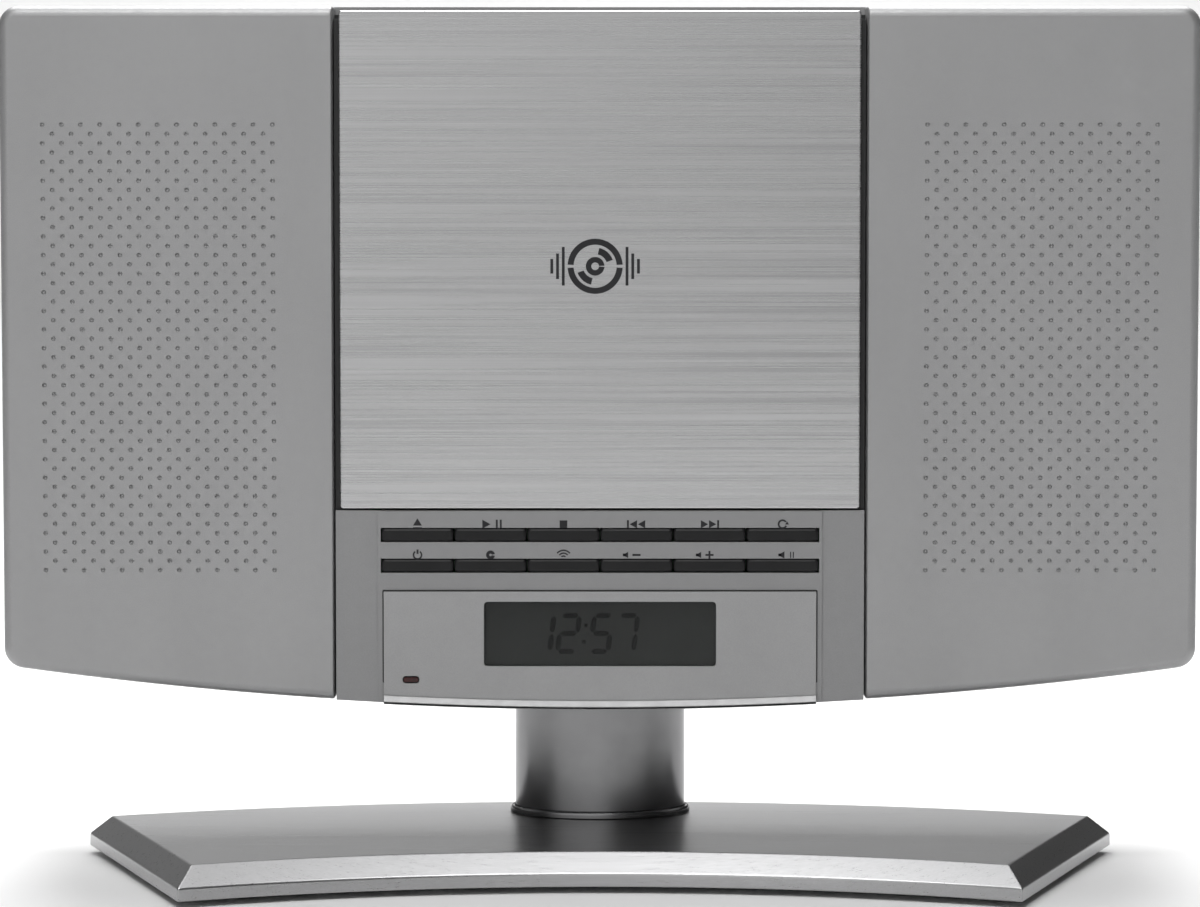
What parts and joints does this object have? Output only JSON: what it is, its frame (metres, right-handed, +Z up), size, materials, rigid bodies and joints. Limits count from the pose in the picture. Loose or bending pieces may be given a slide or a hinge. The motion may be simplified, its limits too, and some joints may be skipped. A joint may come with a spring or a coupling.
{
  "type": "mini hifi system",
  "caption": "Slim upright mini hifi: perforated speaker panel each side, motor-driven sliding door over an upright disc player, button rows, clock display, oval neck on a crescent base.",
  "frame": {"origin": "middle of the object's footprint, on the surface that it stands on", "axes": "+X to the right as seen from the front, +Y from front to back, +Z up"},
  "size_m": [0.37, 0.1456, 0.2681],
  "materials": {
    "silver_shell": "silver-painted moulding, satin",
    "grille_cloth": "fine acoustic cloth",
    "zinc_steel": "zinc-plated pressed steel",
    "paper_cone": "pressed paper cone, rubber surround",
    "brushed_aluminium": "brushed and anodised",
    "black_plastic": "black moulding, fine grain",
    "white_gear_plastic": "natural acetal",
    "black_rubber": "matt",
    "polished_rod": "ground and polished",
    "black_button": "gloss black cap",
    "circuit_board": "green solder mask",
    "smoked_window": "clear smoked acrylic",
    "display_glass": "grey-green liquid crystal",
    "red_lens": "dark red lens",
    "heatsink_metal": "plain extrusion"
  },
  "bodies": {
    "chassis": {"left_speaker_panel": "silver_shell", "right_speaker_panel": "silver_shell", "control_fascia": "silver_shell", "display_panel": "silver_shell", "rear_shell": "silver_shell", "left_grille_cloth": "grille_cloth", "right_grille_cloth": "grille_cloth", "left_driver_frame": "zinc_steel", "right_driver_frame": "zinc_steel", "door_motor": "zinc_steel", "spindle_motor": "zinc_steel", "sled_motor": "zinc_steel", "transformer": "zinc_steel", "neck_bracket": "zinc_steel", "base_plate": "zinc_steel", "neck_column": "brushed_aluminium", "neck_collar": "brushed_aluminium", "base_cover": "brushed_aluminium", "left_door_rail": "black_plastic", "right_door_rail": "black_plastic", "disc_well": "black_plastic", "mechanism_frame": "black_plastic", "mains_inlet": "black_plastic", "socket_block": "black_plastic", "door_belt": "black_rubber", "front_left_foot": "black_rubber", "front_right_foot": "black_rubber", "rear_left_foot": "black_rubber", "rear_right_foot": "black_rubber", "upper_guide_rod": "polished_rod", "lower_guide_rod": "polished_rod", "control_board": "circuit_board", "main_board": "circuit_board", "display_window": "smoked_window", "display_module": "display_glass", "standby_lens": "red_lens", "heatsink": "heatsink_metal"},
    "door": {"door_plate": "brushed_aluminium", "door_carrier": "black_plastic"},
    "door_drive_gear": {"door_drive_gear": "white_gear_plastic"},
    "door_idler_gear": {"door_idler_gear": "white_gear_plastic"},
    "door_motor_pulley": {"door_motor_pulley": "white_gear_plastic"},
    "turntable": {"turntable": "black_plastic"},
    "pickup_sled": {"pickup_sled": "black_plastic"},
    "sled_gear": {"sled_gear": "white_gear_plastic"},
    "sled_motor_gear": {"sled_motor_gear": "white_gear_plastic"},
    "left_cone": {"left_cone": "paper_cone"},
    "right_cone": {"right_cone": "paper_cone"},
    "open_close_button": {"open_close_button": "black_button"},
    "play_pause_button": {"play_pause_button": "black_button"},
    "stop_button": {"stop_button": "black_button"},
    "skip_back_button": {"skip_back_button": "black_button"},
    "skip_forward_button": {"skip_forward_button": "black_button"},
    "repeat_button": {"repeat_button": "black_button"},
    "power_button": {"power_button": "black_button"},
    "source_button": {"source_button": "black_button"},
    "band_button": {"band_button": "black_button"},
    "volume_down_button": {"volume_down_button": "black_button"},
    "volume_up_button": {"volume_up_button": "black_button"},
    "mute_button": {"mute_button": "black_button"}
  },
  "joints": [
    {"name": "door_slide", "type": "slide", "parent": "chassis", "child": "door", "axis": [0, 0, 1], "range_m": [0, 0.137]},
    {"name": "door_drive_gear_spin", "type": "hinge", "parent": "chassis", "child": "door_drive_gear", "pos_m": [0.065, 0.0045, 0.24], "axis": [0, 1, 0], "range_deg": [-1403, 1]},
    {"name": "door_idler_gear_spin", "type": "hinge", "parent": "chassis", "child": "door_idler_gear", "pos_m": [0.04996, 0.01035, 0.24547], "axis": [0, 1, 0], "range_deg": [-1, 4207]},
    {"name": "door_motor_pulley_spin", "type": "hinge", "parent": "chassis", "child": "door_motor_pulley", "pos_m": [0.03026, 0.01575, 0.25217], "axis": [0, 1, 0], "range_deg": [-1, 17222]},
    {"name": "turntable_spin", "type": "hinge", "parent": "chassis", "child": "turntable", "pos_m": [0, 0.01175, 0.1899], "axis": [0, 1, 0], "continuous": true},
    {"name": "sled_slide", "type": "slide", "parent": "chassis", "child": "pickup_sled", "axis": [1, 0, 0], "range_m": [0, 0.032]},
    {"name": "sled_gear_spin", "type": "hinge", "parent": "chassis", "child": "sled_gear", "pos_m": [0.046, 0.0171, 0.15885], "axis": [0, 1, 0], "range_deg": [-1, 329]},
    {"name": "sled_motor_gear_spin", "type": "hinge", "parent": "chassis", "child": "sled_motor_gear", "pos_m": [0.05838, 0.0213, 0.15885], "axis": [0, 1, 0], "range_deg": [-875, 1]},
    {"name": "left_cone_slide", "type": "slide", "parent": "chassis", "child": "left_cone", "axis": [0, -1, 0], "range_m": [-0.001, 0.001], "stiffness_N_per_m": 1200},
    {"name": "right_cone_slide", "type": "slide", "parent": "chassis", "child": "right_cone", "axis": [0, -1, 0], "range_m": [-0.001, 0.001], "stiffness_N_per_m": 1200},
    {"name": "open_close_press", "type": "slide", "parent": "chassis", "child": "open_close_button", "axis": [0, 1, 0], "range_m": [0, 0.0008], "stiffness_N_per_m": 600, "springref_m": -0.0008},
    {"name": "play_pause_press", "type": "slide", "parent": "chassis", "child": "play_pause_button", "axis": [0, 1, 0], "range_m": [0, 0.0008], "stiffness_N_per_m": 600, "springref_m": -0.0008},
    {"name": "stop_press", "type": "slide", "parent": "chassis", "child": "stop_button", "axis": [0, 1, 0], "range_m": [0, 0.0008], "stiffness_N_per_m": 600, "springref_m": -0.0008},
    {"name": "skip_back_press", "type": "slide", "parent": "chassis", "child": "skip_back_button", "axis": [0, 1, 0], "range_m": [0, 0.0008], "stiffness_N_per_m": 600, "springref_m": -0.0008},
    {"name": "skip_forward_press", "type": "slide", "parent": "chassis", "child": "skip_forward_button", "axis": [0, 1, 0], "range_m": [0, 0.0008], "stiffness_N_per_m": 600, "springref_m": -0.0008},
    {"name": "repeat_press", "type": "slide", "parent": "chassis", "child": "repeat_button", "axis": [0, 1, 0], "range_m": [0, 0.0008], "stiffness_N_per_m": 600, "springref_m": -0.0008},
    {"name": "power_press", "type": "slide", "parent": "chassis", "child": "power_button", "axis": [0, 1, 0], "range_m": [0, 0.0008], "stiffness_N_per_m": 600, "springref_m": -0.0008},
    {"name": "source_press", "type": "slide", "parent": "chassis", "child": "source_button", "axis": [0, 1, 0], "range_m": [0, 0.0008], "stiffness_N_per_m": 600, "springref_m": -0.0008},
    {"name": "band_press", "type": "slide", "parent": "chassis", "child": "band_button", "axis": [0, 1, 0], "range_m": [0, 0.0008], "stiffness_N_per_m": 600, "springref_m": -0.0008},
    {"name": "volume_down_press", "type": "slide", "parent": "chassis", "child": "volume_down_button", "axis": [0, 1, 0], "range_m": [0, 0.0008], "stiffness_N_per_m": 600, "springref_m": -0.0008},
    {"name": "volume_up_press", "type": "slide", "parent": "chassis", "child": "volume_up_button", "axis": [0, 1, 0], "range_m": [0, 0.0008], "stiffness_N_per_m": 600, "springref_m": -0.0008},
    {"name": "mute_press", "type": "slide", "parent": "chassis", "child": "mute_button", "axis": [0, 1, 0], "range_m": [0, 0.0008], "stiffness_N_per_m": 600, "springref_m": -0.0008}
  ],
  "couplings": [
    {"joint": "door_drive_gear_spin", "follows": "door_slide", "rad_per_m": -178.57},
    {"joint": "door_idler_gear_spin", "follows": "door_slide", "rad_per_m": 535.71},
    {"joint": "door_motor_pulley_spin", "follows": "door_slide", "rad_per_m": 2193.9},
    {"joint": "sled_gear_spin", "follows": "sled_slide", "rad_per_m": 178.57},
    {"joint": "sled_motor_gear_spin", "follows": "sled_slide", "rad_per_m": -476.19}
  ]
}
